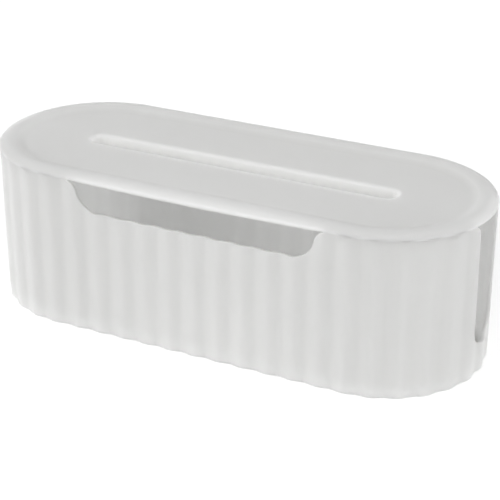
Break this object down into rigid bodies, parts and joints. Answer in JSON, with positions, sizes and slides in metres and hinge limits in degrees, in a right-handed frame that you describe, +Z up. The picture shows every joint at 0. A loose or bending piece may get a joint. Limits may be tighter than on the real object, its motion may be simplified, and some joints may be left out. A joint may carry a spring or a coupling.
{
  "type": "cable management box",
  "caption": "Round-ended fluted box for a power strip and its cables, with a wide front opening, cable slots in its ends and a lift-off dished lid with a stand groove.",
  "frame": {"origin": "centre of the footprint, on the surface that the rubber pads stand on", "axes": "+X along the box's length, -Y out of the front wall with the wide opening, +Z up"},
  "size_m": [0.34, 0.135, 0.1106],
  "materials": {
    "white_shell": "fine satin moulded plastic",
    "pad_rubber": "soft grey silicone"
  },
  "bodies": {
    "box": {"tub": "white_shell", "front_left_foot": "pad_rubber", "front_right_foot": "pad_rubber", "rear_left_foot": "pad_rubber", "rear_right_foot": "pad_rubber"},
    "cover": {"lid": "white_shell"}
  },
  "joints": [
    {"name": "lid_lift", "type": "slide", "parent": "box", "child": "cover", "axis": [0, 0, 1], "range_m": [0, 0.12]}
  ]
}
